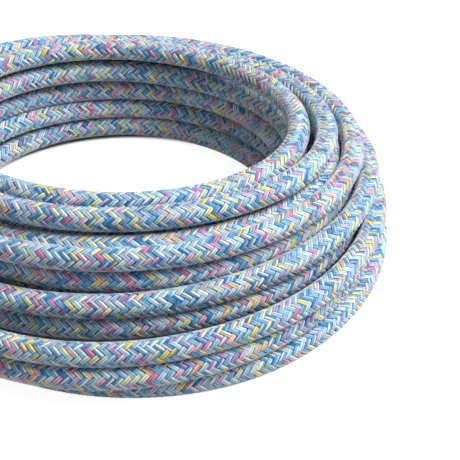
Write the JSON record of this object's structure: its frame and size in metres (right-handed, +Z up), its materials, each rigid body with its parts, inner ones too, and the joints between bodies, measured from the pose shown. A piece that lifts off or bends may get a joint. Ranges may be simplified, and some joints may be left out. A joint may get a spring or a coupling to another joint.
{
  "type": "coil of fabric-covered cable",
  "caption": "Loose round coil of fabric-covered electrical flex: a braided pastel textile cover over sheathed copper cores, with two plain cut ends.",
  "frame": {"origin": "on the surface the coil lies on, at the middle of the ring", "axes": "+Z up along the coil's own axis; -Y is the side that leans out furthest, the front; +X is right seen from the front"},
  "size_m": [0.148, 0.148, 0.0365],
  "materials": {
    "braid": "braided rayon yarn, pale blue, blue, yellow, pink and lilac",
    "sheath": "extruded soft PVC",
    "core_brown": "extruded soft PVC",
    "core_blue": "extruded soft PVC",
    "core_earth": "extruded soft PVC, green with a yellow stripe",
    "copper": "fine bare copper strands, cut square"
  },
  "bodies": {
    "root": {"coil": "braid", "outer_end_cover": "braid", "outer_end_sheath": "sheath", "outer_end_core_brown": "core_brown", "outer_end_core_blue": "core_blue", "outer_end_core_earth": "core_earth", "outer_end_wire_brown": "copper", "outer_end_wire_blue": "copper", "outer_end_wire_earth": "copper", "inner_end_cover": "braid", "inner_end_sheath": "sheath", "inner_end_core_brown": "core_brown", "inner_end_core_blue": "core_blue", "inner_end_core_earth": "core_earth", "inner_end_wire_brown": "copper", "inner_end_wire_blue": "copper", "inner_end_wire_earth": "copper"}
  },
  "joints": []
}
